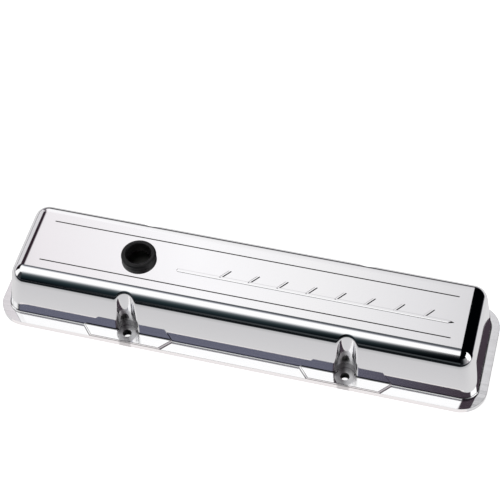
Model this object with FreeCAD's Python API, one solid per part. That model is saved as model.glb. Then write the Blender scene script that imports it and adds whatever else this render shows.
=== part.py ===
import FreeCAD, Part

import math
import os

# Polished cast engine valve cover. All sizes are in millimetres.
# The origin is the middle of the sealing face, X runs along the engine, Z points up.

# Cover body, measured where the walls meet the flange
BODY_LENGTH = 482.4
BODY_WIDTH = 104.4
TOP_HEIGHT = 66.0
SIDE_DRAFT_DEG = 3.4
END_DRAFT_DEG = 8.6
CORNER_RADIUS = 15.3
WALL = 3.2

# Flange that seals on the cylinder head, and how far it stands out from the walls
FLANGE_THICKNESS = 6.0
FLANGE_SIDE_LEDGE = 11.6
FLANGE_END_LEDGE = 8.5
FLANGE_CORNER_RADIUS = 27.2

# Cover bolts: one cylinder spacing each side of the middle, just outside the foot of the walls
CYLINDER_SPACING = 111.76
BOLT_FROM_WALL = 1.8
BOLT_HOLE_DIA = 8.8

# Low rim left round the foot of the walls where the flange face was milled
RIM_HEIGHT = 1.4
RIM_LEDGE = 0.1
FOOT_BEVEL = 0.8

# Raised pads that carry the bolt heads, wider at the wall than at the flange edge
PAD_HEIGHT = 3.0
PAD_WALL_LENGTH = 90.4
PAD_EDGE_LENGTH = 69.6
PAD_END_SLOPE = 2.6

# Bolt pockets sunk into the long walls
POCKET_RADIUS = 10.3
POCKET_EDGE_ROUND = 4.4
POCKET_FOOT_FILLET = 1.4

# Pin lines cut along the top, placed from the edges of its flat
PIN_LINE_SIDE_GAP = 9.4
PIN_LINE_END_GAP = 11.8
PIN_LINE_WIDTH = 1.3
PIN_LINE_DEPTH = 0.6

# Plain raised trim on the top: one long bar with a pointed end, and slanted dashes on it
BAR_LENGTH = 277.0
BAR_CENTRE_Y = -6.6
BAR_WIDTH = 3.6
BAR_POINT_LENGTH = 6.0
TRIM_HEIGHT = 0.7
TRIM_SINK = 0.5
DASH_COUNT = 8
DASH_START = 44.0
DASH_PITCH = 29.0
DASH_WIDTH = 3.2
DASH_REACH = 8.4
DASH_SLANT_DEG = 38.0

# Breather hole in the top and the rubber grommet that lines it
BREATHER_FROM_END = 130.4
BREATHER_HOLE_DIA = 31.8
GROMMET_FIT = 0.15
GROMMET_BORE_DIA = 25.4
GROMMET_HEAD_DIA = 35.2
GROMMET_HEAD_HEIGHT = 6.2
GROMMET_HEAD_SOFTEN = 2.4
GROMMET_TAIL_DIA = 34.4
GROMMET_TAIL_HEIGHT = 4.4

# Oil baffle hung under the breather hole on two cast bosses
BOSS_SPACING = 92.0
BOSS_DIA = 12.0
BAFFLE_DROP = 15.0
BAFFLE_THICKNESS = 1.5
BAFFLE_LENGTH = 116.0
BAFFLE_WIDTH = 48.0
BAFFLE_LIP = 9.0
BAFFLE_BEND_RADIUS = 2.5

# Pan head screws that hold the baffle
SCREW_DIA = 4.8
SCREW_LENGTH = 10.0
SCREW_CLEARANCE = 0.3
THREAD_FIT = 0.1
SCREW_HOLE_EXTRA = 1.5
SCREW_HEAD_DIA = 9.4
SCREW_HEAD_HEIGHT = 3.0
SCREW_HEAD_EDGE = 0.8
SCREW_SLOT_WIDTH = 1.2
SCREW_SLOT_DEPTH = 1.4

# How far a cutting tool runs past the face it cuts, and how closely an edge must lie to be picked
PAST = 1.0
NEAR = 0.05
# Part of its length that an upright edge must rise
UPRIGHT_SHARE = 0.7
# The pockets and the plate round the walls reach this far into the metal that is added below them
POCKET_SINK = 0.5
PLATE_SINK = 2.0

UP = FreeCAD.Vector(0, 0, 1)
FLANGE_LENGTH = BODY_LENGTH + 2 * FLANGE_END_LEDGE
FLANGE_WIDTH = BODY_WIDTH + 2 * FLANGE_SIDE_LEDGE
RIM_TOP = FLANGE_THICKNESS + RIM_HEIGHT
PAD_TOP = FLANGE_THICKNESS + PAD_HEIGHT
ROOF_BELOW = TOP_HEIGHT - WALL
BOLT_X = CYLINDER_SPACING
BOLT_Y = BODY_WIDTH / 2 + BOLT_FROM_WALL
BREATHER_X = BREATHER_FROM_END - BODY_LENGTH / 2
BAFFLE_TOP = ROOF_BELOW - BAFFLE_DROP


def vec(x, y, z=0.0):
    return FreeCAD.Vector(x, y, z)


def bolt_places():
    return [(sx * BOLT_X, sy * BOLT_Y) for sx in (-1, 1) for sy in (-1, 1)]


def boss_places():
    return [(BREATHER_X + s * BOSS_SPACING / 2, 0.0) for s in (-1, 1)]


def rod(radius, z0, z1, x=0.0, y=0.0):
    return Part.makeCylinder(radius, z1 - z0, vec(x, y, z0), UP)


def slab(length, width, z0, z1, x=0.0, y=0.0):
    corner = vec(x - length / 2, y - width / 2, z0)
    return Part.makeBox(length, width, z1 - z0, corner)


def outline_prism(points, z0, z1):
    ring = [vec(x, y, z0) for x, y in points]
    face = Part.Face(Part.makePolygon(ring + ring[:1]))
    return face.extrude(vec(0, 0, z1 - z0))


def upright_edges(shape):
    """Straight edges that run mainly in Z, the corners of a block."""
    found = []
    for edge in shape.Edges:
        a, b = edge.Vertexes[0].Point, edge.Vertexes[-1].Point
        if abs(b.z - a.z) > UPRIGHT_SHARE * edge.Length:
            found.append(edge)
    return found


def edges_at_height(shape, z):
    box = [(e, e.BoundBox) for e in shape.Edges]
    return [e for e, b in box if abs(b.ZMin - z) < NEAR and abs(b.ZMax - z) < NEAR]


def frustum(low, high):
    """A solid with flat faces between two level outlines, both counter-clockwise from above."""
    count = len(low)
    loops = [low[::-1], high]
    for i in range(count):
        j = (i + 1) % count
        loops.append([low[i], low[j], high[j], high[i]])
    faces = [Part.Face(Part.makePolygon(loop + loop[:1])) for loop in loops]
    return Part.makeSolid(Part.makeShell(faces))


def drafted_block(length, width, z_foot, z_top, z_ref):
    """A block whose side and end walls lean inwards; its size is given at height z_ref."""
    rings = []
    for z in (z_foot, z_top):
        rise = z - z_ref
        hx = length / 2 - rise * math.tan(math.radians(END_DRAFT_DEG))
        hy = width / 2 - rise * math.tan(math.radians(SIDE_DRAFT_DEG))
        rings.append([vec(-hx, -hy, z), vec(hx, -hy, z), vec(hx, hy, z), vec(-hx, hy, z)])
    return frustum(*rings)


def rounded_body(length, width, z_foot, z_top, z_ref, radius):
    """The drafted block with one rolling round on its four corners and top edge."""
    block = drafted_block(length, width, z_foot, z_top, z_ref)
    edges = upright_edges(block) + edges_at_height(block, z_top)
    return block.makeFillet(radius, edges)


def flange_plate():
    plate = slab(FLANGE_LENGTH, FLANGE_WIDTH, 0, FLANGE_THICKNESS)
    return plate.makeFillet(FLANGE_CORNER_RADIUS, upright_edges(plate))


def rim_band():
    """The narrow rim round the foot of the walls, just wider than their bevelled foot."""
    grow = FOOT_BEVEL + RIM_LEDGE
    band = slab(BODY_LENGTH + 2 * grow, BODY_WIDTH + 2 * grow, 0, RIM_TOP)
    return band.makeFillet(CORNER_RADIUS + grow, upright_edges(band))


def walls_on_rim():
    """Outer walls standing on a broad plate, so that the foot bevel runs clear round."""
    z_under = RIM_TOP - PLATE_SINK
    z_ref = FLANGE_THICKNESS
    body = rounded_body(BODY_LENGTH, BODY_WIDTH, z_under, TOP_HEIGHT, z_ref, CORNER_RADIUS)
    table = slab(FLANGE_LENGTH, FLANGE_WIDTH, z_under, RIM_TOP)
    joined = body.fuse(table).removeSplitter()
    inner = slab(FLANGE_LENGTH - PAST, FLANGE_WIDTH - PAST, z_under, RIM_TOP + PAST).BoundBox
    foot = [e for e in edges_at_height(joined, RIM_TOP) if inner.isInside(e.BoundBox)]
    return joined.makeChamfer(FOOT_BEVEL, foot)


def pocket_edges(shape):
    """The sharp rims that the bolt pockets leave on the walls and the top round."""
    found = []
    for edge in shape.Edges:
        if edge.BoundBox.ZMax < PAD_TOP + PAST:
            continue
        for x, y in bolt_places():
            point = edge.valueAt((edge.FirstParameter + edge.LastParameter) / 2)
            near = abs(math.hypot(point.x - x, point.y - y) - POCKET_RADIUS) < NEAR
            if near and abs(point.y) < abs(y):
                found.append(edge)
                break
    return found


def cut_pockets(body):
    """Round channels for the bolts and their socket, with softly rounded rims."""
    for x, y in bolt_places():
        body = body.cut(rod(POCKET_RADIUS, PAD_TOP - POCKET_SINK, TOP_HEIGHT + PAST, x, y))
    return body.makeFillet(POCKET_EDGE_ROUND, pocket_edges(body))


def pad(x, y):
    """One bolt pad: a trapezium with sloping ends that runs out to the flange edge."""
    side = 1 if y > 0 else -1
    y_wall = BODY_WIDTH / 2
    y_edge = FLANGE_WIDTH / 2
    y_in = y_wall - WALL
    flare = (PAD_WALL_LENGTH - PAD_EDGE_LENGTH) / 2 / (y_edge - y_wall)
    rings = []
    for z in (FLANGE_THICKNESS / 2, PAD_TOP):
        far = PAD_EDGE_LENGTH / 2 + PAD_END_SLOPE * (PAD_TOP - z) / PAD_HEIGHT
        near = far + flare * (y_edge - y_in)
        plan = [(-near, y_in), (near, y_in), (far, y_edge), (-far, y_edge)]
        rings.append([vec(x + side * across, side * out, z) for across, out in plan])
    return frustum(*rings)


def outer_casting():
    """Walls, rim, flange and pads before the inside is hollowed."""
    walls = cut_pockets(walls_on_rim())
    keep = rim_band().fuse(slab(FLANGE_LENGTH, FLANGE_WIDTH, RIM_TOP, TOP_HEIGHT + PAST))
    casting = walls.common(keep.removeSplitter()).fuse([flange_plate(), rim_band()])
    for x, y in bolt_places():
        casting = casting.fuse(pad(x, y))
    casting = casting.removeSplitter()
    return casting.makeFillet(POCKET_FOOT_FILLET, pocket_foot_edges(casting))


def pocket_foot_edges(shape):
    """Where each pocket stands on its pad."""
    found = []
    for edge in edges_at_height(shape, PAD_TOP):
        point = edge.valueAt((edge.FirstParameter + edge.LastParameter) / 2)
        for x, y in bolt_places():
            if abs(math.hypot(point.x - x, point.y - y) - POCKET_RADIUS) < NEAR:
                found.append(edge)
    return found


def cavity():
    """The hollow inside: the outer form less the wall, clear of the bolt pockets."""
    length = BODY_LENGTH - 2 * WALL / math.cos(math.radians(END_DRAFT_DEG))
    width = BODY_WIDTH - 2 * WALL / math.cos(math.radians(SIDE_DRAFT_DEG))
    radius = CORNER_RADIUS - WALL
    hollow = rounded_body(length, width, -PAST, ROOF_BELOW, FLANGE_THICKNESS, radius)
    for x, y in bolt_places():
        hollow = hollow.cut(rod(POCKET_RADIUS + WALL, -2 * PAST, TOP_HEIGHT, x, y))
    return hollow


def bosses():
    """Two cast bosses under the top that the baffle is screwed to."""
    return [rod(BOSS_DIA / 2, BAFFLE_TOP, ROOF_BELOW + WALL / 2, x, y) for x, y in boss_places()]


def flat_half(foot_size, draft_deg):
    """Half the size of the top's flat, left inside its rounded edge."""
    rise = TOP_HEIGHT - FLANGE_THICKNESS
    lean = math.radians(draft_deg)
    sharp = foot_size / 2 - rise * math.tan(lean)
    return sharp - CORNER_RADIUS * math.tan(math.pi / 4 - lean / 2)


PIN_LINE_Y = flat_half(BODY_WIDTH, SIDE_DRAFT_DEG) - PIN_LINE_SIDE_GAP
PIN_LINE_X = flat_half(BODY_LENGTH, END_DRAFT_DEG) - PIN_LINE_END_GAP


def pin_line(y):
    """A flat-bottomed line with round ends."""
    r = PIN_LINE_WIDTH / 2
    half = PIN_LINE_X - r
    z0 = TOP_HEIGHT - PIN_LINE_DEPTH
    z1 = TOP_HEIGHT + PIN_LINE_WIDTH
    line = slab(2 * half, PIN_LINE_WIDTH, z0, z1, 0, y)
    return line.fuse([rod(r, z0, z1, s * half, y) for s in (-1, 1)]).removeSplitter()


def trim_bar(z0, z1):
    """The long bar, round at its left end and pointed at its right end."""
    r = BAR_WIDTH / 2
    y = BAR_CENTRE_Y
    x_tip = PIN_LINE_X
    x_point = x_tip - BAR_POINT_LENGTH
    x_round = x_tip - BAR_LENGTH + r
    points = [(x_round, y - r), (x_point, y - r), (x_tip, y), (x_point, y + r), (x_round, y + r)]
    return outline_prism(points, z0, z1).fuse(rod(r, z0, z1, x_round, y))


def trim_dash(x, z0, z1):
    """One slanted dash that stands on the bar."""
    y0 = BAR_CENTRE_Y
    y1 = BAR_CENTRE_Y + BAR_WIDTH / 2 + DASH_REACH
    lean = (y1 - y0) * math.tan(math.radians(DASH_SLANT_DEG))
    w = DASH_WIDTH / 2
    return outline_prism([(x - w, y0), (x + w, y0), (x + w + lean, y1), (x - w + lean, y1)], z0, z1)


def top_trim():
    z0 = TOP_HEIGHT - TRIM_SINK
    z1 = TOP_HEIGHT + TRIM_HEIGHT
    x_first = PIN_LINE_X - BAR_LENGTH + DASH_START
    dashes = [trim_dash(x_first + i * DASH_PITCH, z0, z1) for i in range(DASH_COUNT)]
    return trim_bar(z0, z1).fuse(dashes).removeSplitter()


def cover_shell():
    shell = outer_casting().cut(cavity()).fuse(bosses())
    shell = shell.fuse(top_trim())
    tools = [pin_line(s * PIN_LINE_Y) for s in (-1, 1)]
    tools += [rod(BOLT_HOLE_DIA / 2, -PAST, PAD_TOP + PAST, x, y) for x, y in bolt_places()]
    tools.append(rod(BREATHER_HOLE_DIA / 2, ROOF_BELOW - PAST, TOP_HEIGHT + PAST, BREATHER_X))
    pilot = SCREW_LENGTH - BAFFLE_THICKNESS + SCREW_HOLE_EXTRA
    thread = SCREW_DIA / 2 + THREAD_FIT
    tools += [rod(thread, BAFFLE_TOP - PAST, BAFFLE_TOP + pilot, x, y) for x, y in boss_places()]
    return shell.cut(tools).removeSplitter()


def breather_grommet():
    """Rubber ring turned about the breather hole, grooved to grip the edge of the top."""
    bore = GROMMET_BORE_DIA / 2
    head = GROMMET_HEAD_DIA / 2
    neck = BREATHER_HOLE_DIA / 2 - GROMMET_FIT
    z_top = TOP_HEIGHT + GROMMET_HEAD_HEIGHT
    z_low = ROOF_BELOW - GROMMET_FIT
    z_tail = z_low - GROMMET_TAIL_HEIGHT
    soft = GROMMET_HEAD_SOFTEN
    knee = 1 - math.sin(math.radians(45))
    profile = [
        (bore, z_top),
        (head - soft, z_top),
        (head - soft * knee, z_top - soft * knee),
        (head, z_top - soft),
        (head, TOP_HEIGHT + GROMMET_FIT),
        (neck, TOP_HEIGHT + GROMMET_FIT),
        (neck, z_low),
        (GROMMET_TAIL_DIA / 2, z_low),
        (GROMMET_TAIL_DIA / 2, z_tail),
        (bore, z_tail),
    ]
    ring = [vec(r, 0, z) for r, z in profile]
    face = Part.Face(Part.makePolygon(ring + ring[:1]))
    body = face.revolve(vec(0, 0, 0), UP, 360)
    body.translate(vec(BREATHER_X, 0, 0))
    return body


def oil_baffle():
    """Sheet tray under the breather hole: flat floor, two upturned sides, open ends."""
    z0 = BAFFLE_TOP - BAFFLE_THICKNESS
    outer = slab(BAFFLE_LENGTH, BAFFLE_WIDTH, z0, z0 + BAFFLE_LIP, BREATHER_X)
    long_low = [e for e in edges_at_height(outer, z0) if e.BoundBox.XLength > BAFFLE_LENGTH - PAST]
    outer = outer.makeFillet(BAFFLE_BEND_RADIUS + BAFFLE_THICKNESS, long_low)
    inner_width = BAFFLE_WIDTH - 2 * BAFFLE_THICKNESS
    inner = slab(BAFFLE_LENGTH + 2 * PAST, inner_width, BAFFLE_TOP, z0 + BAFFLE_LIP + PAST, BREATHER_X)
    low_in = [e for e in edges_at_height(inner, BAFFLE_TOP) if e.BoundBox.XLength > BAFFLE_LENGTH]
    inner = inner.makeFillet(BAFFLE_BEND_RADIUS, low_in)
    tray = outer.cut(inner)
    hole = SCREW_DIA / 2 + SCREW_CLEARANCE
    return tray.cut([rod(hole, z0 - PAST, BAFFLE_TOP + PAST, x, y) for x, y in boss_places()])


def baffle_screw(x, y):
    """Slotted pan head screw driven up into its boss."""
    z_seat = BAFFLE_TOP - BAFFLE_THICKNESS
    z_head = z_seat - SCREW_HEAD_HEIGHT
    z_tip = z_seat + SCREW_LENGTH
    head = rod(SCREW_HEAD_DIA / 2, z_head, z_seat, x, y)
    head = head.makeChamfer(SCREW_HEAD_EDGE, edges_at_height(head, z_head))
    slot = slab(2 * SCREW_HEAD_DIA, SCREW_SLOT_WIDTH, z_head - PAST, z_head + SCREW_SLOT_DEPTH, x, y)
    shank = rod(SCREW_DIA / 2, z_seat, z_tip, x, y)
    return head.cut(slot).fuse(shank).removeSplitter()


def main():
    os.makedirs("parts", exist_ok=True)
    cover_shell().exportStep("parts/cover_shell.step")
    breather_grommet().exportStep("parts/breather_grommet.step")
    oil_baffle().exportStep("parts/oil_baffle.step")
    screws = Part.makeCompound([baffle_screw(x, y) for x, y in boss_places()])
    screws.exportStep("parts/baffle_screws.step")


main()
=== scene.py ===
import math
from functools import partial, reduce
from itertools import combinations

import bmesh
import bpy
import numpy as np
from bpy.props import FloatProperty, FloatVectorProperty, IntProperty, PointerProperty
from mathutils import Matrix, Vector


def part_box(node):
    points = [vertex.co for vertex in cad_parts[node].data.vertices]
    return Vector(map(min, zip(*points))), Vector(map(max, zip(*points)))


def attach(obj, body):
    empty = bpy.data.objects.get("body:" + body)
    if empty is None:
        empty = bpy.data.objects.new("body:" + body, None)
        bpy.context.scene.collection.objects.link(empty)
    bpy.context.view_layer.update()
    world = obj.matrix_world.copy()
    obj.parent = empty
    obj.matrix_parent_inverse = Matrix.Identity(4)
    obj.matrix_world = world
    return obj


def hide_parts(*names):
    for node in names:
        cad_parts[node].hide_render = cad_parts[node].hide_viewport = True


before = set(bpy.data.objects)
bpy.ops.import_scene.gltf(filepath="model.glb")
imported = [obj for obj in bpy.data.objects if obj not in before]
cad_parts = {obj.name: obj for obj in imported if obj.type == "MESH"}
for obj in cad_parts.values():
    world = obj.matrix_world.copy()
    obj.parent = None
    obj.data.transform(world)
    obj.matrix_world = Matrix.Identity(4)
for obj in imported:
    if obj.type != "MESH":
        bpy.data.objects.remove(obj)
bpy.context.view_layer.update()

bl_info = {
    "name": "Polished valve cover",
    "version": (1, 0, 0),
    "blender": (4, 5, 0),
    "location": "View3D > Sidebar > Valve cover",
    "description": "Dresses a polished engine valve cover, its breather grommet and its oil baffle",
    "category": "Object",
}

MM = 0.001

# Material slots of the cover body
POLISH, CAST, LINE, FLANGE = range(4)


class CoverFormSettings(bpy.types.PropertyGroup):
    """The form that the polish follows, as the casting has it."""

    corner_round: FloatProperty(
        name="Corner round", default=15.3 * MM, unit="LENGTH",
        description="Radius of the ball-like corners and of the top edge")
    side_lean: FloatProperty(
        name="Side lean", default=math.radians(3.4), subtype="ANGLE",
        description="How far the long walls lean inwards")
    end_lean: FloatProperty(
        name="End lean", default=math.radians(8.6), subtype="ANGLE",
        description="How far the end walls lean inwards")
    foot_length: FloatProperty(
        name="Foot length", default=482.4 * MM, unit="LENGTH",
        description="Length of the walls where they meet the flange")
    foot_width: FloatProperty(
        name="Foot width", default=104.4 * MM, unit="LENGTH",
        description="Width of the walls where they meet the flange")
    flange_top: FloatProperty(
        name="Flange top", default=6.0 * MM, unit="LENGTH",
        description="Height of the flange face")
    pad_height: FloatProperty(
        name="Pad height", default=3.0 * MM, unit="LENGTH",
        description="How far the bolt pads stand above the flange")
    edge_ease: FloatProperty(
        name="Eased edge", default=0.28 * MM, unit="LENGTH",
        description="How far polishing has worn the flange edges")
    top_height: FloatProperty(
        name="Top height", default=66.0 * MM, unit="LENGTH",
        description="Height of the flat top")
    pocket_radius: FloatProperty(
        name="Pocket radius", default=10.3 * MM, unit="LENGTH",
        description="Radius of the bolt pockets")
    pocket_round: FloatProperty(
        name="Pocket rim round", default=4.4 * MM, unit="LENGTH",
        description="Radius rolled round the rim of each pocket")
    bolt_x: FloatProperty(
        name="Bolt X", default=111.76 * MM, unit="LENGTH",
        description="Bolts each side of the middle")
    bolt_y: FloatProperty(
        name="Bolt Y", default=54.0 * MM, unit="LENGTH",
        description="Bolt rows each side of the centre line")


class TrimSettings(bpy.types.PropertyGroup):
    """The plain raised trim on the top."""

    bar_length: FloatProperty(
        name="Bar length", default=277.0 * MM, unit="LENGTH",
        description="Length of the long bar")
    bar_tip: FloatProperty(
        name="Bar tip", default=207.17 * MM, unit="LENGTH",
        description="Where the pointed end lies along the cover")
    bar_y: FloatProperty(
        name="Bar Y", default=-6.6 * MM, unit="LENGTH",
        description="Where the bar lies across the cover")
    bar_width: FloatProperty(
        name="Bar width", default=3.6 * MM, unit="LENGTH",
        description="Width of the bar")
    point_length: FloatProperty(
        name="Point length", default=6.0 * MM, unit="LENGTH",
        description="Length of the bar's point")
    height: FloatProperty(
        name="Height", default=0.7 * MM, unit="LENGTH",
        description="How far the trim stands up")
    dash_count: IntProperty(
        name="Dashes", default=8, min=1,
        description="Number of slanted dashes")
    dash_first: FloatProperty(
        name="First dash", default=-25.83 * MM, unit="LENGTH",
        description="Foot of the first dash along the cover")
    dash_pitch: FloatProperty(
        name="Dash pitch", default=29.0 * MM, unit="LENGTH",
        description="Step from dash to dash")
    dash_width: FloatProperty(
        name="Dash width", default=3.2 * MM, unit="LENGTH",
        description="Width of a dash")
    dash_length: FloatProperty(
        name="Dash length", default=10.2 * MM, unit="LENGTH",
        description="Length of a dash across the cover")
    dash_slant: FloatProperty(
        name="Dash slant", default=math.radians(38.0), subtype="ANGLE",
        description="How far the dashes slant")


class BreatherSettings(bpy.types.PropertyGroup):
    """The rubber grommet, the baffle and its screws."""

    hole_radius: FloatProperty(
        name="Hole radius", default=15.9 * MM, unit="LENGTH",
        description="Radius of the breather hole")
    bore_radius: FloatProperty(
        name="Bore radius", default=12.7 * MM, unit="LENGTH",
        description="Radius of the grommet's bore")
    head_radius: FloatProperty(
        name="Head radius", default=17.6 * MM, unit="LENGTH",
        description="Radius of the grommet's head")
    head_height: FloatProperty(
        name="Head height", default=6.2 * MM, unit="LENGTH",
        description="How far the head stands up")
    screw_spacing: FloatProperty(
        name="Screw spacing", default=92.0 * MM, unit="LENGTH",
        description="Between the two baffle screws")


class FinishSettings(bpy.types.PropertyGroup):
    """Colours of the finishes."""

    aluminium: FloatVectorProperty(
        name="Aluminium", subtype="COLOR", default=(0.90, 0.90, 0.905), min=0, max=1,
        description="Polished aluminium")
    as_cast: FloatVectorProperty(
        name="As cast", subtype="COLOR", default=(0.50, 0.50, 0.49), min=0, max=1,
        description="Cast aluminium inside the cover")
    rubber: FloatVectorProperty(
        name="Rubber", subtype="COLOR", default=(0.012, 0.012, 0.013), min=0, max=1,
        description="Black rubber")
    sheet: FloatVectorProperty(
        name="Sheet", subtype="COLOR", default=(0.62, 0.62, 0.60), min=0, max=1,
        description="Rolled baffle sheet")
    zinc: FloatVectorProperty(
        name="Zinc", subtype="COLOR", default=(0.63, 0.62, 0.56), min=0, max=1,
        description="Zinc plated screws")


# Node helpers


def add_node(tree, kind, inputs=(), **settings):
    """A new node with its settings; each input is a socket to link or a value to set."""
    node = tree.nodes.new(kind)
    for name, value in settings.items():
        setattr(node, name, value)
    for key, value in dict(inputs).items():
        if isinstance(value, bpy.types.NodeSocket):
            tree.links.new(value, node.inputs[key])
        else:
            node.inputs[key].default_value = value
    return node


def math_node(tree, operation, *values):
    """The result of a calculation with sockets or numbers."""
    return add_node(tree, "ShaderNodeMath", enumerate(values), operation=operation).outputs[0]


def most(tree, *values):
    """The largest of several values."""
    return reduce(partial(math_node, tree, "MAXIMUM"), values)


def both(tree, *masks):
    """Where all the masks overlap."""
    return reduce(partial(math_node, tree, "MULTIPLY"), masks)


def in_degrees(tree, operation, *values):
    """The angle that a calculation gives, in degrees."""
    return math_node(tree, "MULTIPLY", math_node(tree, operation, *values), 180 / math.pi)


def place_in(tree, coordinates):
    """X, Y and Z of the shaded point."""
    place = tree.nodes.new("ShaderNodeTexCoord")
    return add_node(tree, "ShaderNodeSeparateXYZ", {0: place.outputs[coordinates]}).outputs


def step_up(tree, value, at, soft):
    """0 below a value and 1 above it, with a soft edge."""
    span = add_node(tree, "ShaderNodeMapRange", {
        "Value": value, "From Min": at - soft / 2, "From Max": at + soft / 2,
    }, interpolation_type="SMOOTHSTEP")
    return span.outputs["Result"]


def step_down(tree, value, at, soft):
    """1 below a value and 0 above it, with a soft edge."""
    return math_node(tree, "SUBTRACT", 1.0, step_up(tree, value, at, soft))


def band(tree, value, low, high, soft):
    """1 between two values, with soft edges."""
    ends = [step_up(tree, value, at, soft) for at in (low, high)]
    return math_node(tree, "SUBTRACT", *ends)


def mixed(tree, factor, one, two):
    """Mix of two colours; each is a socket or a colour."""
    return add_node(tree, "ShaderNodeMix", {0: factor, 6: one, 7: two}, data_type="RGBA").outputs[2]


# Materials

NOISE_LOW, NOISE_HIGH = 0.3, 0.7  # nearly all of a noise lies between these
CREASE_SHADE = (0.035, 0.032, 0.038, 1)  # painted shade in the corners and creases
LINE_SHADE, DOME_SHADE = 0.75, 0.62  # how much painted shade lies along the lines and in the pockets
RECESS_SHADE, RECESS_ROUGH = 0.68, 0.2  # the pockets' feet: rougher where the buffing wheel can't reach, and painted shade darkens their colour
RECESS_TOP, RECESS_FADE = 26 * MM, 36 * MM  # where they end and how softly
POCKET_SKIRT, POCKET_FADE = 1.2 * MM, 1.6 * MM  # the same, outwards from a pocket's radius
RING_PITCH, RING_FADE = 0.5 * MM, 0.6 * MM  # turned rings round the bolt holes
RING_SHARE = 0.3  # of their relief beside the milling marks
TURNED_ROUGH = 0.26
# painted shade on the floor of the pin lines
SHADED_LINE_FLOOR = (0.20, 0.19, 0.195)
ALONG_THE_COVER = (0.02, 1.0, 1.0)  # draws a noise out into lines


def start_material(name, colour=None, metallic=1.0):
    """A new material; a colour that is the same all over goes on the shader's own socket."""
    mat = bpy.data.materials.new(name)
    mat.use_nodes = True
    shader = mat.node_tree.nodes["Principled BSDF"]
    shader.inputs["Metallic"].default_value = metallic
    if colour is not None:
        shader.inputs["Base Color"].default_value = (*colour, 1)
    return mat, mat.node_tree, shader


def noise_at(tree, scale, detail=3.0, stretch=(1, 1, 1)):
    """Noise in Object coordinates; scale is per metre."""
    place = tree.nodes.new("ShaderNodeTexCoord")
    turn = add_node(tree, "ShaderNodeMapping", {
        "Vector": place.outputs["Object"], "Scale": stretch,
    })
    noise = add_node(tree, "ShaderNodeTexNoise", {
        "Vector": turn.outputs["Vector"], "Scale": scale, "Detail": detail,
    })
    return noise.outputs["Fac"]


def ranged(tree, noise, low, high):
    """A noise spread between two values."""
    span = add_node(tree, "ShaderNodeMapRange", {
        "Value": noise, "From Min": NOISE_LOW, "From Max": NOISE_HIGH,
        "To Min": low, "To Max": high,
    })
    return span.outputs["Result"]


def bumped(tree, shader, height, strength, distance):
    """Gives the shader a fine relief."""
    bump = add_node(tree, "ShaderNodeBump", {
        "Height": height, "Strength": strength, "Distance": distance,
    })
    tree.links.new(bump.outputs["Normal"], shader.inputs["Normal"])


def grained(name, colour, scale, detail, gloss, stretch=(1, 1, 1), metallic=1.0):
    """One colour whose roughness follows a fine noise; gives the noise too."""
    mat, tree, shader = start_material(name, colour, metallic)
    grain = noise_at(tree, scale, detail, stretch)
    tree.links.new(ranged(tree, grain, *gloss), shader.inputs["Roughness"])
    return mat, tree, shader, grain


def from_bolt(tree, form):
    """Distance from the nearest bolt's axis."""
    x, y, _ = place_in(tree, "Object")
    across = math_node(tree, "SUBTRACT", math_node(tree, "ABSOLUTE", x), form.bolt_x)
    out = math_node(tree, "SUBTRACT", math_node(tree, "ABSOLUTE", y), form.bolt_y)
    squares = math_node(tree, "MULTIPLY_ADD", across, across, math_node(tree, "MULTIPLY", out, out))
    return math_node(tree, "SQRT", squares)


def in_pocket(tree, form):
    """1 in the bolt pockets and just round them."""
    return step_down(tree, from_bolt(tree, form), form.pocket_radius + POCKET_SKIRT, POCKET_FADE)


def painted_crease_shade(tree, form):
    """How dark the painted shade along the low rim, the trim's foot and the pockets' feet is."""
    z = place_in(tree, "Object")[2]
    pad = form.flange_top + form.pad_height

    def line(foot, low, high, soft):
        return band(tree, z, foot + low * MM, foot + high * MM, soft * MM)

    pocket = in_pocket(tree, form)
    lines = most(
        tree,
        both(tree, pocket, line(pad, -1.0, 1.5, 0.6)),
        line(form.flange_top, 0.05, 1.2, 0.1),
        line(form.flange_top, 2.5, 3.5, 0.3),
        line(form.top_height, 0.02, 0.38, 0.04),
    )
    dome = both(tree, pocket, line(pad, -1.0, 9.0, 2.0))
    return most(tree, both(tree, lines, LINE_SHADE), both(tree, dome, DOME_SHADE))


def polished_aluminium(colour, form):
    """Mirror polish with the faint haze and drag marks of the buffing wheel."""
    mat, tree, shader = start_material("polished_aluminium")
    z = place_in(tree, "Object")[2]
    # the pockets' feet are rougher, and painted shade darkens their colour
    recess = both(tree, in_pocket(tree, form), step_down(tree, z, RECESS_TOP, RECESS_FADE))
    dull = tuple(RECESS_SHADE * c for c in colour)
    buffed = mixed(tree, recess, (*colour, 1), (*dull, 1))
    # painted shade darkens the creases along the low rim, the trim's foot and the pockets
    crease_shaded = mixed(tree, painted_crease_shade(tree, form), buffed, CREASE_SHADE)
    tree.links.new(crease_shaded, shader.inputs["Base Color"])
    mirror = ranged(tree, noise_at(tree, 22.0, 4.0), 0.035, 0.075)
    rough = math_node(tree, "MULTIPLY_ADD", recess, RECESS_ROUGH, mirror)
    tree.links.new(rough, shader.inputs["Roughness"])
    bumped(tree, shader, noise_at(tree, 55.0, 5.0, (0.12, 1.0, 1.0)), 0.05, 0.4 * MM)
    return mat


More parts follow.
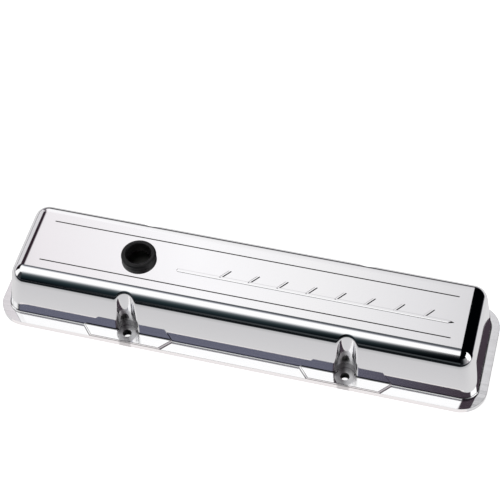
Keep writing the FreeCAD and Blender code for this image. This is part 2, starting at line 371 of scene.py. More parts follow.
def milled_flange(colour, form):
    """The flange and pad faces: milled lengthwise, buffed over, with turned rings at the bolts."""
    mat, tree, shader = start_material("milled_flange", colour)
    cuts = noise_at(tree, 420.0, 4.0, ALONG_THE_COVER)
    far = from_bolt(tree, form)
    turned = step_down(tree, far, form.pocket_radius, RING_FADE)
    rough = math_node(tree, "MULTIPLY_ADD", turned, TURNED_ROUGH, ranged(tree, cuts, 0.05, 0.09))
    tree.links.new(rough, shader.inputs["Roughness"])
    rings = math_node(tree, "SINE", math_node(tree, "MULTIPLY", far, 2 * math.pi / RING_PITCH))
    relief = math_node(tree, "MULTIPLY_ADD", both(tree, rings, turned), RING_SHARE, cuts)
    bumped(tree, shader, relief, 0.12, 0.25 * MM)
    return mat


def milled_line():
    """The cutter's dull floor of the pin lines, with painted shade darkening its colour."""
    return grained("milled_line", SHADED_LINE_FLOOR, 900.0, 2.0, (0.3, 0.45))[0]


def cast_aluminium(colour):
    """The inside, as it leaves the mould: dull and finely pebbled."""
    mat, tree, shader = start_material("cast_aluminium")
    tone = noise_at(tree, 60.0, 4.0)
    ramp = add_node(tree, "ShaderNodeValToRGB", {"Fac": tone})
    ends = ((NOISE_LOW, 0.8), (NOISE_HIGH, 1.15))
    for element, (position, gain) in zip(ramp.color_ramp.elements, ends):
        element.position = position
        element.color = (*[min(1, gain * c) for c in colour], 1)
    tree.links.new(ramp.outputs["Color"], shader.inputs["Base Color"])
    tree.links.new(ranged(tree, tone, 0.45, 0.6), shader.inputs["Roughness"])
    bumped(tree, shader, noise_at(tree, 1400.0, 2.0), 0.5, 0.3 * MM)
    return mat


def black_rubber(colour):
    """Moulded rubber, matt with a fine grain."""
    mat, tree, shader, _ = grained("black_rubber", colour, 180.0, 3.0, (0.42, 0.58), metallic=0.0)
    bumped(tree, shader, noise_at(tree, 2600.0, 2.0), 0.15, 0.08 * MM)
    return mat


def rolled_sheet(colour):
    """Mill finish with fine rolling lines along the sheet."""
    mat, tree, shader, lines = grained(
        "rolled_sheet", colour, 900.0, 3.0, (0.28, 0.45), ALONG_THE_COVER)
    bumped(tree, shader, lines, 0.12, 0.05 * MM)
    return mat


def zinc_plate(colour):
    """Bright zinc with a cloudy gloss."""
    return grained("zinc_plate", colour, 700.0, 3.0, (0.22, 0.4))[0]


# Mesh helpers


def put_in_scene(name, data):
    """A new object, linked to the scene."""
    obj = bpy.data.objects.new(name, data)
    bpy.context.scene.collection.objects.link(obj)
    return obj


def mesh_of(bm, name):
    """The finished mesh of a working one."""
    mesh = bpy.data.meshes.new(name)
    bm.to_mesh(mesh)
    bm.free()
    return mesh


def welded_copy(node, name):
    """A copy of a solid's mesh with its loose triangles joined."""
    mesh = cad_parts[node].data.copy()
    mesh.name = name
    bm = bmesh.new()
    bm.from_mesh(mesh)
    bmesh.ops.remove_doubles(bm, verts=bm.verts, dist=1e-6)
    bmesh.ops.dissolve_degenerate(bm, dist=1e-7, edges=bm.edges)
    bm.to_mesh(mesh)
    bm.free()
    mesh.materials.clear()
    return mesh


def add_piece(mesh, name, slot, *nodes):
    """Puts a finished mesh in the scene as a piece of the cover."""
    piece = put_in_scene(name, mesh)
    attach(piece, "root")
    if nodes:
        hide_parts(*nodes)


def lathe(profile, centre, segments, name, closed=True, phase=0.0):
    """Turns a profile of (radius, z) about an upright axis; a radius of 0 makes a pole."""
    bm = bmesh.new()
    x, y = centre
    turns = [2 * math.pi * (i + phase) / segments for i in range(segments)]
    spokes = [(math.cos(a), math.sin(a)) for a in turns]
    rings = []
    for r, z in profile:
        if r == 0.0:
            rings.append([bm.verts.new((x, y, z))] * segments)
        else:
            rings.append([bm.verts.new((x + r * c, y + r * s, z)) for c, s in spokes])
    after = rings[1:] + rings[:1] if closed else rings[1:]
    for one, two in zip(rings, after):
        for i in range(segments):
            k = (i + 1) % segments
            corners = list(dict.fromkeys([one[i], one[k], two[k], two[i]]))
            if len(corners) > 2:
                bm.faces.new(corners)
    bmesh.ops.recalc_face_normals(bm, faces=bm.faces)
    return mesh_of(bm, name)


def arc(centre, radius, start, end, steps):
    """Points of an arc in (radius, z), angles in degrees."""
    points = []
    for i in range(steps + 1):
        a = math.radians(start + (end - start) * i / steps)
        points.append((centre[0] + radius * math.cos(a), centre[1] + radius * math.sin(a)))
    return points


def smooth_by_angle(mesh, angle):
    """Smooth shading with sharp edges where faces meet above an angle in degrees."""
    mesh.shade_smooth()
    mesh.set_sharp_from_angle(angle=math.radians(angle))


def smooth_round_flats(mesh, angle):
    """Smooth shading that leaves the flats beside a round exactly flat."""
    normals = blended_normals(mesh, angle)
    mesh.shade_smooth()
    mesh.normals_split_custom_set([tuple(n) for n in normals])


# The polished form: what a ball rolled round the casting leaves


class PolishedForm:
    """The outer surface in one quarter of the cover; the other quarters mirror it."""

    def __init__(self, s):
        self.round = s.corner_round
        self.rim = s.pocket_round
        self.reach = s.pocket_radius + s.pocket_round
        self.bolt = np.array([s.bolt_x, s.bolt_y])
        side = np.array([0.0, math.cos(s.side_lean), math.sin(s.side_lean)])
        end = np.array([math.cos(s.end_lean), 0.0, math.sin(s.end_lean)])
        foot = np.array([s.foot_length / 2, s.foot_width / 2, s.flange_top])
        self.normals = np.array([[0.0, 0.0, 1.0], side, end])
        self.depths = np.array([s.top_height, side @ foot, end @ foot]) - s.corner_round
        self.sets = [list(c) for n in (1, 2, 3) for c in combinations(range(3), n)]

    def core(self, point):
        """Nearest point of the block that is left when every face is set in by the round."""
        over = self.normals @ point - self.depths
        if (over <= 0).all():
            return point
        for faces in self.sets:
            n = self.normals[faces]
            push = np.linalg.solve(n @ n.T, over[faces])
            near = point - n.T @ push
            if (push >= -1e-12).all() and (self.normals @ near - self.depths <= 1e-9).all():
                return near
        raise RuntimeError("no nearest point on the inset block")

    def depth(self, point):
        """How deep a point lies under the walls and top, pockets left out."""
        return self.round - np.linalg.norm(point - self.core(point))

    def rim_track(self, point, ball):
        """Centre of the ball that rolls along a pocket's rim, where it is nearest to a point."""
        for _ in range(30):
            core = self.core(ball)
            lift = ball - core
            off = ball[:2] - self.bolt
            g1 = lift / np.linalg.norm(lift)
            g2 = np.array([*(off / np.linalg.norm(off)), 0.0])
            along = np.cross(g1, g2)
            along /= np.linalg.norm(along)
            miss = np.array([
                self.round - self.rim - np.linalg.norm(lift),
                self.reach - np.linalg.norm(off),
                (point - ball) @ along,
            ])
            ball = ball + np.linalg.solve(np.array([g1, g2, along]), miss)
            if np.abs(miss).max() < 1e-8:
                break
        return ball

    def skin(self, point):
        """The place on the skin beside a point, and the skin's normal there."""
        sign = np.array([-1.0 if point[0] < 0 else 1.0, -1.0 if point[1] < 0 else 1.0, 1.0])
        p = point * sign
        core = self.core(p)
        lift = p - core
        size = np.linalg.norm(lift)
        if size < 1e-9:
            return None
        normal = lift / size
        ball = core + (self.round - self.rim) * normal
        off = ball[:2] - self.bolt
        if np.linalg.norm(off) < self.reach:
            spoke = p[:2] - self.bolt
            if np.linalg.norm(spoke) < 1e-9:
                return None
            at = self.bolt + self.reach * spoke / np.linalg.norm(spoke)
            upright = np.array([at[0], at[1], p[2]])
            if self.depth(upright) >= self.rim - 1e-7:
                ball = upright
            else:
                ball = self.rim_track(p, ball)
            away = p - ball
            normal = away / np.linalg.norm(away)
        return (ball + self.rim * normal) * sign, normal * sign


def drop_trim(bm, top):
    """Takes the raised trim off the top and closes the flat under it."""
    raised = [f for f in bm.faces if max(v.co.z for v in f.verts) > top + 0.01 * MM]
    bmesh.ops.delete(bm, geom=raised, context="FACES")
    open_edges = [e for e in bm.edges if len(e.link_faces) == 1]
    if not open_edges:
        raise RuntimeError("the trim left no opening in the top")
    made = bmesh.ops.triangle_fill(bm, edges=open_edges, use_beauty=True, use_dissolve=False)
    for item in made["geom"]:
        if isinstance(item, bmesh.types.BMFace) and item.normal.z < 0:
            item.normal_flip()


def ease_flange_edges(bm, s):
    """Takes the sharpness off the flange edge and the pads' sloping ends, as polishing does."""
    levels = (s.flange_top, s.flange_top + s.pad_height)
    rim = 1.2 * MM  # the low rim stands this far out from the foot of the walls
    half_length, half_width = s.foot_length / 2 + rim, s.foot_width / 2 + rim
    chosen = []
    for edge in bm.edges:
        ends = [v.co for v in edge.verts]
        at_level = any(all(abs(p.z - z) < 0.02 * MM for p in ends) for z in levels)
        if len(edge.link_faces) != 2 or not at_level:
            continue
        flat, tilted = sorted((f.normal.z for f in edge.link_faces), reverse=True)
        outside = all(abs(p.y) > half_width or abs(p.x) > half_length for p in ends)
        if flat > 0.99 and -0.1 < tilted < 0.8 and outside:
            chosen.append(edge)
    if not chosen:
        raise RuntimeError("the flange has no edges to ease")
    bmesh.ops.bevel(bm, geom=chosen, offset=s.edge_ease, segments=2, affect="EDGES", profile=0.5,
                    clamp_overlap=True)


def face_areas_by_plane(mesh):
    """For each face, the whole area of the flat that it belongs to."""
    keys = []
    total = {}
    for poly in mesh.polygons:
        n = poly.normal
        key = (round(n.x, 3), round(n.y, 3), round(n.z, 3), round(n.dot(poly.center), 5))
        keys.append(key)
        total[key] = total.get(key, 0.0) + poly.area
    return [total[k] for k in keys]


def blended_normals(mesh, angle):
    """Loop normals smoothed over faces that meet below an angle; flats keep their own."""
    limit = math.cos(math.radians(angle))
    area = face_areas_by_plane(mesh)
    around = [[] for _ in mesh.vertices]
    for poly in mesh.polygons:
        ids = list(poly.vertices)
        for i, v in enumerate(ids):
            here = mesh.vertices[v].co
            a = mesh.vertices[ids[i - 1]].co - here
            b = mesh.vertices[ids[(i + 1) % len(ids)]].co - here
            if a.length > 0 and b.length > 0:
                around[v].append((poly.normal.copy(), a.angle(b) * area[poly.index]))
    result = []
    for poly in mesh.polygons:
        for v in poly.vertices:
            total = Vector((0, 0, 0))
            for normal, weight in around[v]:
                if normal.dot(poly.normal) > limit:
                    total += normal * weight
            result.append(total.normalized() if total.length > 0 else poly.normal.copy())
    return result


def finish_of(centre, upward, form, s):
    """Which material slot a face has, by its place and how far it faces up."""
    quarter = np.abs(centre) * [1, 1, 0] + centre * [0, 0, 1]
    deep = form.depth(quarter)
    off_bolt = np.linalg.norm(quarter[:2] - form.bolt)
    z, pad_top = centre[2], s.flange_top + s.pad_height
    if upward > 0.99 and s.flange_top - 0.1 * MM < z < pad_top + 0.1 * MM:
        return FLANGE
    if 0.15 * MM < s.top_height - z < 0.7 * MM and deep > 0.15 * MM:
        return LINE
    if z < 0.01 * MM or off_bolt < 4.5 * MM:  # the underside and the bolt holes
        return CAST
    if deep > 1.5 * MM and off_bolt >= form.reach - 4 * MM and z < s.top_height - 1 * MM:
        return CAST
    return POLISH


def polish_normals(mesh, form, s):
    """Gives the mesh the exact normals of the rolled form, and each face its finish."""
    normals = blended_normals(mesh, angle=38)
    points = [np.array(v.co, dtype=float) for v in mesh.vertices]
    skin = [form.skin(p) for p in points]
    on_skin = 0.2 * MM  # how near a corner lies to the rolled form
    like = math.cos(math.radians(32))  # how little a face may turn from it
    # the bevel at the foot of the walls looks straight up where it leaves the rolled form
    bevel_low, bevel_top = s.flange_top + 1.3 * MM, s.flange_top + 2.6 * MM
    for poly in mesh.polygons:
        n = np.array(poly.normal)
        centre = np.array(poly.center, dtype=float)
        low = all(mesh.vertices[v].co.z < bevel_top for v in poly.vertices)
        is_bevel = low and 0.35 < n[2] < 0.9 and centre[2] > bevel_low
        for loop, v in zip(poly.loop_indices, poly.vertices):
            if skin[v] is None:
                continue
            place, normal = skin[v]
            close = np.linalg.norm(place - points[v]) < on_skin
            if is_bevel and not close:
                normals[loop] = Vector((0, 0, 1))
            elif close and (is_bevel or normal @ n > like):
                normals[loop] = Vector(normal)
        poly.material_index = finish_of(centre, n[2], form, s)
    mesh.shade_smooth()
    mesh.normals_split_custom_set([tuple(n) for n in normals])


# Geometry Nodes helpers


def start_tree(name, **inputs):
    """A node group with a Geometry output and named inputs."""
    tree = bpy.data.node_groups.new(name, "GeometryNodeTree")
    tree.is_modifier = True
    tree.interface.new_socket("Geometry", in_out="INPUT", socket_type="NodeSocketGeometry")
    for label, kind in inputs.items():
        tree.interface.new_socket(label, in_out="INPUT", socket_type="NodeSocket" + kind)
    tree.interface.new_socket("Geometry", in_out="OUTPUT", socket_type="NodeSocketGeometry")
    return tree, tree.nodes.new("NodeGroupInput").outputs


def input_identifier(tree, label):
    """The identifier by which a modifier sets this input."""
    for item in tree.interface.items_tree:
        if item.item_type == "SOCKET" and item.in_out == "INPUT" and item.name == label:
            return item.identifier
    raise RuntimeError(f"the tree {tree.name} has no input {label}")


def mesh_from_tree(tree, values, name):
    """Runs a tree with these inputs and returns its result as a plain mesh."""
    carrier = put_in_scene(name + "_carrier", bpy.data.meshes.new(name + "_carrier"))
    modifier = carrier.modifiers.new(name, "NODES")
    modifier.node_group = tree
    for label, value in values.items():
        modifier[input_identifier(tree, label)] = value
    depsgraph = bpy.context.evaluated_depsgraph_get()
    mesh = bpy.data.meshes.new_from_object(carrier.evaluated_get(depsgraph))
    mesh.name = name
    carrier.modifiers.remove(modifier)
    bpy.data.objects.remove(carrier)
    if not mesh.polygons:
        raise RuntimeError(f"the tree {tree.name} made nothing")
    return mesh


def copies_in_a_row(tree, given, pattern, material):
    """Ends a tree: copies of the pattern on a line, made real and given their material."""
    row = add_node(tree, "GeometryNodeMeshLine", {
        "Count": given["Count"], "Start Location": given["Start"], "Offset": given["Pitch"],
    }, mode="OFFSET")
    spread = add_node(tree, "GeometryNodeInstanceOnPoints", {
        "Points": row.outputs["Mesh"], "Instance": pattern,
    })
    solid = add_node(tree, "GeometryNodeRealizeInstances", {
        "Geometry": spread.outputs["Instances"],
    })
    paint = add_node(tree, "GeometryNodeSetMaterial", {
        "Geometry": solid.outputs["Geometry"], "Material": material,
    })
    add_node(tree, "NodeGroupOutput", {"Geometry": paint.outputs["Geometry"]})


def dash_tree(material):
    """Slanted dashes in a row: one sheared, chamfered block on each point of a line."""
    tree, given = start_tree(
        "slanted_dashes", Count="Int", Start="Vector", Pitch="Vector", Width="Float",
        Length="Float", Height="Float", Rise="Float", Shoulder="Float", Slope="Float")
    calc = partial(math_node, tree)
    plate = add_node(tree, "GeometryNodeMeshGrid", {
        "Vertices X": 2, "Vertices Y": 2, "Size X": given["Width"], "Size Y": given["Length"],
    })
    # walls up to the shoulders, then the shoulders and the narrower crown
    walls = add_node(tree, "GeometryNodeExtrudeMesh", {
        "Mesh": plate.outputs["Mesh"], "Individual": False,
        "Offset Scale": calc("SUBTRACT", given["Height"], given["Rise"]),
    })
    cap = add_node(tree, "GeometryNodeExtrudeMesh", {
        "Mesh": walls.outputs["Mesh"], "Selection": walls.outputs["Top"], "Individual": False,
        "Offset Scale": given["Rise"],
    })
    lost = calc("DIVIDE", calc("MULTIPLY", given["Shoulder"], 2.0), given["Width"])
    narrow = add_node(tree, "GeometryNodeScaleElements", {
        "Geometry": cap.outputs["Mesh"], "Selection": cap.outputs["Top"],
        "Scale": calc("SUBTRACT", 1.0, lost), "Axis": (1, 0, 0),
    }, scale_mode="SINGLE_AXIS")
    # lean every point over by its distance from the foot
    place = tree.nodes.new("GeometryNodeInputPosition")
    split = add_node(tree, "ShaderNodeSeparateXYZ", {0: place.outputs[0]})
    half = calc("MULTIPLY", given["Length"], 0.5)
    lean = calc("MULTIPLY", calc("ADD", split.outputs["Y"], half), given["Slope"])
    shift = add_node(tree, "ShaderNodeCombineXYZ", {"X": lean, "Y": half})
    shear = add_node(tree, "GeometryNodeSetPosition", {
        "Geometry": narrow.outputs["Geometry"], "Offset": shift.outputs[0],
    })
    copies_in_a_row(tree, given, shear.outputs["Geometry"], material)
    return tree


def screw_tree(material):
    """Copies of one screw along a line."""
    tree, given = start_tree(
        "screws_in_a_row", Screw="Object", Count="Int", Start="Vector", Pitch="Vector")
    pattern = add_node(tree, "GeometryNodeObjectInfo", {"Object": given["Screw"]})
    copies_in_a_row(tree, given, pattern.outputs["Geometry"], material)
    return tree


# Operators, one for each piece


class COVER_OT_body(bpy.types.Operator):
    """Dress the cast cover: polished outside, rough inside"""

    bl_idname = "cover.body"
    bl_label = "Cover body"

    def execute(self, context):
        form_settings = context.scene.cover_form
        finish = context.scene.cover_finish
        mesh = welded_copy("cover_shell", "cover_body")
        bm = bmesh.new()
        bm.from_mesh(mesh)
        drop_trim(bm, form_settings.top_height)
        bm.normal_update()
        ease_flange_edges(bm, form_settings)
        bm.normal_update()
        bm.to_mesh(mesh)
        bm.free()
        mesh.materials.append(polished_aluminium(finish.aluminium, form_settings))
        mesh.materials.append(cast_aluminium(finish.as_cast))
        mesh.materials.append(milled_line())
        mesh.materials.append(milled_flange(finish.aluminium, form_settings))
        polish_normals(mesh, PolishedForm(form_settings), form_settings)
        add_piece(mesh, "cover_body", "polished_aluminium", "cover_shell")
        return {"FINISHED"}


class COVER_OT_trim(bpy.types.Operator):
    """Raise the plain bar and its slanted dashes on the top"""

    bl_idname = "cover.trim"
    bl_label = "Top trim"

    def execute(self, context):
        t = context.scene.cover_trim
        top = context.scene.cover_form.top_height
        metal = bpy.data.objects["cover_body"].data.materials[0]
        sunk, rise, shoulder = 0.3 * MM, 0.3 * MM, 0.8 * MM
        r = t.bar_width / 2
        x_round = t.bar_tip - t.bar_length + r
        x_point = t.bar_tip - t.point_length
        outline = [(x_point, t.bar_y - r), (t.bar_tip, t.bar_y), (x_point, t.bar_y + r)]
        outline += arc((x_round, t.bar_y), r, 90, 270, 12)
        bm = bmesh.new()
        face = bm.faces.new([bm.verts.new((x, y, top - sunk)) for x, y in outline])
        walls = bmesh.ops.extrude_face_region(bm, geom=[face])
        lifted = [g for g in walls["geom"] if isinstance(g, bmesh.types.BMVert)]
        bmesh.ops.translate(bm, verts=lifted, vec=(0, 0, t.height - rise + sunk))
        bmesh.ops.recalc_face_normals(bm, faces=bm.faces)
        crown = [f for f in bm.faces if all(v in lifted for v in f.verts)]
        bmesh.ops.inset_region(
            bm, faces=crown, thickness=shoulder, depth=rise, use_even_offset=True)
        bmesh.ops.recalc_face_normals(bm, faces=bm.faces)
        mesh = mesh_of(bm, "trim_bar")
        smooth_round_flats(mesh, angle=15)
        mesh.materials.append(metal)
        add_piece(mesh, "trim_bar", "polished_aluminium")

        dashes = mesh_from_tree(dash_tree(metal), {
            "Count": t.dash_count,
            "Start": (t.dash_first, t.bar_y, top - sunk),
            "Pitch": (t.dash_pitch, 0.0, 0.0),
            "Width": t.dash_width,
            "Length": t.dash_length,
            "Height": t.height + sunk,
            "Rise": rise,
            "Shoulder": shoulder,
            "Slope": math.tan(t.dash_slant),
        }, "trim_dashes")
        add_piece(dashes, "trim_dashes", "polished_aluminium")
        return {"FINISHED"}


class COVER_OT_grommet(bpy.types.Operator):
    """Turn the rubber grommet in the breather hole"""

    bl_idname = "cover.grommet"
    bl_label = "Breather grommet"

    def execute(self, context):
        b = context.scene.cover_breather
        top = context.scene.cover_form.top_height
        low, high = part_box("breather_grommet")
        centre = ((low.x + high.x) / 2, (low.y + high.y) / 2)
        fit, wall, tail = 0.15 * MM, 3.2 * MM, 17.2 * MM
        head, bore, neck = b.head_radius, b.bore_radius, b.hole_radius - fit
        under, below, crown = top + fit, top - wall - fit, top + b.head_height
        lip, soft = 1.0 * MM, 2.2 * MM
        profile = [(bore, low.z + 0.8 * MM), (bore, crown - lip)]
        profile += arc((bore + lip, crown - lip), lip, 180, 90, 6)[1:]
        profile += arc((head - soft, crown - soft), soft, 90, 0, 10)
        # the head's side draws in towards the cover
        profile += [(head - 0.35 * MM, top + 2.2 * MM), (head - 0.1 * MM, top + 0.9 * MM)]
        profile += [(head - 0.1 * MM, under), (neck, under), (neck, below), (tail, below)]
        profile += [(tail, below - 1.6 * MM), (tail - 1.4 * MM, low.z + 0.3 * MM)]
        profile += [(tail - 1.9 * MM, low.z), (bore + 0.8 * MM, low.z)]
        mesh = lathe(profile, centre, 96, "breather_grommet_rubber")
        smooth_by_angle(mesh, angle=35)
        mesh.materials.append(black_rubber(context.scene.cover_finish.rubber))
        add_piece(mesh, "breather_grommet_rubber", "black_rubber", "breather_grommet")
        return {"FINISHED"}


class COVER_OT_baffle(bpy.types.Operator):
    """Give the oil baffle its sheet finish"""

    bl_idname = "cover.baffle"
    bl_label = "Oil baffle"

    def execute(self, context):
        mesh = welded_copy("oil_baffle", "oil_baffle_sheet")
        smooth_by_angle(mesh, angle=30)
        mesh.materials.append(rolled_sheet(context.scene.cover_finish.sheet))
        add_piece(mesh, "oil_baffle_sheet", "baffle_sheet", "oil_baffle")
        return {"FINISHED"}


class COVER_OT_screws(bpy.types.Operator):
    """Drive the two slotted screws that hold the baffle"""

    bl_idname = "cover.screws"
    bl_label = "Baffle screws"

    def execute(self, context):
        b = context.scene.cover_breather
        low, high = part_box("baffle_screws")
        middle = ((low.x + high.x) / 2, (low.y + high.y) / 2)
        plate = zinc_plate(context.scene.cover_finish.zinc)
        pattern = put_in_scene("screw_pattern", slotted_screw(high.z - low.z))
        mesh = mesh_from_tree(screw_tree(plate), {
            "Screw": pattern,
            "Count": 2,
            "Start": (middle[0] - b.screw_spacing / 2, middle[1], low.z),
            "Pitch": (b.screw_spacing, 0.0, 0.0),
        }, "baffle_screws_plated")
        bpy.data.objects.remove(pattern)
        add_piece(mesh, "baffle_screws_plated", "screw_steel", "baffle_screws")
        return {"FINISHED"}


def slotted_screw(length):
    """A pan head screw standing head down, with its slot and thread."""
    head, edge, seat = 4.7 * MM, 1.6 * MM, 3.0 * MM
    shank, root, pitch, tip = 2.4 * MM, 2.05 * MM, 0.8 * MM, 0.3 * MM
    slot_wide, slot_deep = 1.2 * MM, 1.4 * MM
    profile = [(0.0, 0.0), *arc((head - edge, edge), edge, 270, 360, 6), (head, seat), (root, seat)]
    z = seat + pitch / 2
    while z < length - 0.9 * MM:
        profile += [(root, z), (shank, z + 0.28 * MM)]
        profile += [(shank, z + 0.36 * MM), (root, z + 0.64 * MM)]
        z += pitch
    profile += [(root, length - tip), (root - tip, length), (0.0, length)]
    body = put_in_scene("screw_body", lathe(profile, (0.0, 0.0), 32, "slotted_screw", False, 0.5))
    bm = bmesh.new()
    bmesh.ops.create_cube(bm, size=1.0)
    bmesh.ops.scale(bm, vec=(12 * MM, slot_wide, 2 * slot_deep), verts=bm.verts)
    cutter = put_in_scene("slot_cutter", mesh_of(bm, "slot_cutter"))
    cut = body.modifiers.new("slot", "BOOLEAN")
    cut.operation, cut.solver, cut.object = "DIFFERENCE", "EXACT", cutter
    depsgraph = bpy.context.evaluated_depsgraph_get()
    done = bpy.data.meshes.new_from_object(body.evaluated_get(depsgraph))
    for obj in (body, cutter):
        bpy.data.objects.remove(obj)
    smooth_by_angle(done, angle=35)
    return done


# The stage

CAMERA_AT = (0.275946, -0.899628, 1.324283)
CAMERA_AZIMUTH = math.radians(16.769)
CAMERA_ELEVATION = math.radians(52.227)
CAMERA_ROLL = math.radians(-2.822)
CAMERA_LENS = 115.04


def place_camera():
    """The camera of the photograph: where it stood, how it was turned and its lens."""
    az, el = CAMERA_AZIMUTH, CAMERA_ELEVATION
    back = Vector((math.sin(az) * math.cos(el), -math.cos(az) * math.cos(el), math.sin(el)))
    right = Vector((0, 0, 1)).cross(back).normalized()
    up = back.cross(right)
    c, s = math.cos(CAMERA_ROLL), math.sin(CAMERA_ROLL)
    across = c * right + s * up
    upward = c * up - s * right
    data = bpy.data.cameras.new("camera")
    data.lens = CAMERA_LENS
    data.sensor_width = 36.0
    data.clip_start, data.clip_end = 0.05, 50.0
    camera = put_in_scene("camera", data)
    turn = Matrix((across, upward, back)).transposed().to_4x4()
    camera.matrix_world = Matrix.Translation(CAMERA_AT) @ turn
    bpy.context.scene.camera = camera


# Tones of the studio, as the screen shows them in the polish, 0 to 255. Angles are in
# degrees, azimuth from the back, right of it positive.
FRONT_GLOW = [  # up from the front horizon to the overhead box
    (0, (1, 3, 6)), (8, (6, 12, 16)), (18, (22, 31, 35)), (29, (30, 41, 45)),
    (39, (52, 62, 65)), (49, (97, 103, 107)), (54, (138, 142, 145)), (60, (206, 207, 209)),
    (69, (255, 255, 255)),
]
SECOND_GLOW = [  # the same, as the walls and the flange show it to each other
    (0, (1, 3, 6)), (30, (38, 40, 50)), (44, (77, 79, 95)), (53, (106, 107, 123)),
    (56, (158, 158, 167)), (58.5, (250, 250, 252)), (61, (255, 255, 255)),
]
OVERHEAD_EDGE = [  # from the overhead box back into the gap above the backdrop
    (0.07, (255, 255, 255)), (0.12, (220, 220, 223)), (0.20, (158, 160, 168)),
    (0.23, (143, 146, 153)), (0.28, (97, 101, 106)), (0.35, (84, 87, 91)), (0.60, (80, 84, 88)),
]
BACKDROP = [  # along the backdrop, from its left edge to its right edge
    (-40, (120, 116, 118)), (-36, (170, 164, 168)), (-29, (236, 232, 235)),
    (-20, (251, 250, 252)), (-13, (241, 240, 241)), (-7, (228, 227, 229)),
    (-3, (216, 215, 217)), (3, (214, 213, 215)),
]
RIGHT_WALL = [  # on the grey wall at the right front, degrees right of the front
    (10, (8, 10, 12)), (28, (20, 22, 24)), (38, (90, 92, 94)), (46, (128, 128, 130)),
    (60, (156, 155, 157)), (80, (190, 188, 190)),
]
TABLE_FALLOFF = [  # painted light on the table, as the metal sees it, metres out from the foot of the long wall
    (0.0, (213, 212, 213)), (0.04, (201, 200, 202)), (0.066, (190, 190, 191)),
    (0.135, (178, 178, 180)), (0.165, (60, 62, 64)), (0.21, (22, 26, 28)), (1.0, (8, 10, 11)),
]
BESIDE_FLANGE = (236, 231, 231)  # the painted light is brightest beside the flange's long edge
# painted shade on the table beyond the painted light
FAR_TABLE_SHADE = (88, 88, 94)
ROOM = (1, 2, 3)
SECOND_ROOM = (66, 57, 65)
LEFT_DIM = (52, 55, 58)
LOW_STRIP = (58, 62, 64)
LEFT_CARD = (236, 234, 236)
EDGE_STRIP = (112, 106, 113)
GAP = (46, 34, 42)
RIGHT_LOW = (178, 172, 176)
CARD_GREY = (214, 212, 215)
CARD_WHITE = (252, 252, 252)
RIGHT_GAIN = 1.2  # the right panel is a little brighter than white
METAL_SHARE = 0.9  # how much light the polished metal gives back
LATER_REFLECTION = 2.5  # light on its way to the second mirror or a later one counts more
WHITE = (1.0, 1.0, 1.0, 1.0)

TABLE_HALF = 12.0
TABLE_DROP = 0.3 * MM  # below the flange, so that the faces never touch
TABLE_GLOW = 0.86  # with the light that falls on the matt table this makes white
WALL_FOOT = 52.2 * MM
BRIGHT_STRIP = (10 * MM, 17.5 * MM, 2 * MM)  # from, to and softness of the painted bright strip, out from the wall's foot
BRIGHT_HALF = 236 * MM
# half the length and width of the painted shadow under the cover
SHADOW_UNDER_COVER = (232 * MM, 58.5 * MM)


def shown_value(level):
    """Linear brightness of a screen level, 0 to 255."""
    v = level / 255
    return v / 12.92 if v <= 0.04045 else ((v + 0.055) / 1.055) ** 2.4


def studio_colour(tone, gain=1.0):
    """The light that the polished metal shows as this tone."""
    return (*[gain * shown_value(level) / METAL_SHARE for level in tone], 1)


def colour_ramp(tree, value, stops, gain=1.0):
    """Colours along a value; stops are (value, tone)."""
    low, high = stops[0][0], stops[-1][0]
    span = add_node(tree, "ShaderNodeMapRange", {"Value": value, "From Min": low, "From Max": high})
    ramp = add_node(tree, "ShaderNodeValToRGB", {"Fac": span.outputs["Result"]})
    elements = ramp.color_ramp.elements
    while len(elements) > 1:
        elements.remove(elements[-1])
    for i, (at, tone) in enumerate(stops):
        position = (at - low) / (high - low)
        element = elements[0] if i == 0 else elements.new(position)
        element.position = position
        element.color = studio_colour(tone, gain)
    return ramp.outputs["Color"]


def seen_as_background(tree):
    """1 for what the camera sees straight."""
    return tree.nodes.new("ShaderNodeLightPath").outputs["Is Camera Ray"]


def layered(tree, colour, layers):
    """Lays tones over a colour, each where all its masks overlap.

    A tone may also be a socket, or a colour of four numbers.
    """
    for tone, *masks in layers:
        if isinstance(tone, tuple) and len(tone) == 3:
            tone = studio_colour(tone)
        colour = mixed(tree, both(tree, *masks), colour, tone)
    return colour


